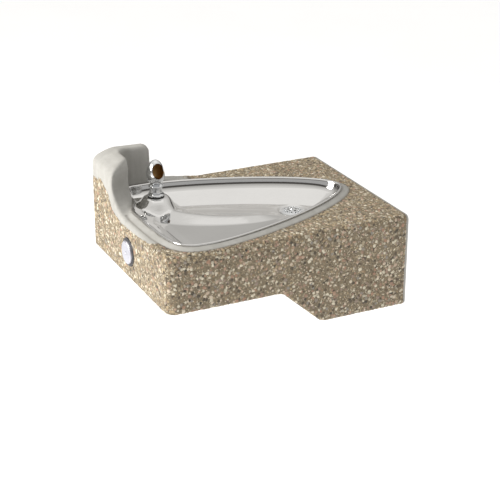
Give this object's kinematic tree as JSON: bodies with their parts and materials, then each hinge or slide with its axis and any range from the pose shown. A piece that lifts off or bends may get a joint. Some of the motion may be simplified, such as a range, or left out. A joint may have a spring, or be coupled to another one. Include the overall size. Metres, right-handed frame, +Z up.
{
  "type": "wall-hung drinking fountain",
  "caption": "Wall-hung drinking fountain: exposed-aggregate concrete body with a corner guard, teardrop steel basin, hooded bubbler, push-button valve and waste.",
  "frame": {"origin": "centre of the four wall bolts, on the wall face", "axes": "+X to the user's right as they face the wall, +Y into the wall, +Z up; the fountain reaches out from the wall towards -Y"},
  "size_m": [0.374, 0.4955, 0.2716],
  "materials": {
    "exposed_aggregate": "exposed pebbles in grey cement, etched",
    "bar_steel": "rolled, as cast in",
    "zinc_steel": "zinc plated",
    "plate_steel": "brushed",
    "polished_steel": "polished stainless sheet",
    "chrome_plate": "chrome plated, polished",
    "satin_steel": "satin",
    "dark_ring": "satin black",
    "brass": "machined",
    "rubber": "moulded",
    "sealant": "silicone",
    "poly_tube": "extruded",
    "acetal": "moulded"
  },
  "bodies": {
    "fountain": {"concrete_body": "exposed_aggregate", "reinforcing_bars": "bar_steel", "wall_sleeves": "zinc_steel", "rear_access_plate": "plate_steel", "front_access_plate": "plate_steel", "access_plate_screws": "zinc_steel", "access_plate_inserts": "brass", "basin": "polished_steel", "basin_seal": "sealant", "basin_studs": "zinc_steel", "basin_clamp_bars": "zinc_steel", "basin_clamp_nuts": "zinc_steel", "bubbler_head": "chrome_plate", "bubbler_nozzle": "brass", "bubbler_gasket": "rubber", "bubbler_washer": "rubber", "bubbler_locknut": "brass", "bubbler_tube": "poly_tube", "drain_strainer": "chrome_plate", "strainer_screw": "chrome_plate", "drain_body": "chrome_plate", "drain_gasket": "rubber", "drain_locknut": "brass", "waste_elbow": "brass", "slip_nuts": "chrome_plate", "slip_washers": "rubber", "waste_tube": "chrome_plate", "button_housing": "dark_ring", "housing_locknut": "zinc_steel", "valve_body": "brass", "valve_cartridge": "acetal", "cartridge_seals": "rubber", "stem_seal": "rubber", "return_spring": "satin_steel", "inlet_screen": "satin_steel", "supply_tube": "poly_tube", "stop_body": "brass", "packing_nut": "brass", "compression_nuts": "brass", "compression_sleeves": "brass"},
    "button": {"push_button": "satin_steel"},
    "stem": {"valve_stem": "satin_steel", "seat_washer": "rubber"},
    "adjuster": {"stream_screw": "brass"},
    "stop_valve": {"stop_ball": "chrome_plate", "stop_stem": "brass"}
  },
  "joints": [
    {"name": "button_press", "type": "slide", "parent": "fountain", "child": "button", "axis": [0, 1, 0], "range_m": [0, 0.004], "stiffness_N_per_m": 1500, "springref_m": -0.006, "deforming": ["return_spring"]},
    {"name": "stem_slide", "type": "slide", "parent": "fountain", "child": "stem", "axis": [0, 1, 0], "range_m": [0, 0.004]},
    {"name": "stream_adjust", "type": "hinge", "parent": "stem", "child": "adjuster", "pos_m": [0, -0.481, 0.035], "axis": [0, 1, 0], "range_deg": [-180, 180]},
    {"name": "stop_turn", "type": "hinge", "parent": "fountain", "child": "stop_valve", "pos_m": [0.068, -0.048, -0.031], "axis": [0, 0, 1], "range_deg": [0, 90]}
  ],
  "couplings": [
    {"joint": "stem_slide", "follows": "button_press", "ratio": 1}
  ]
}
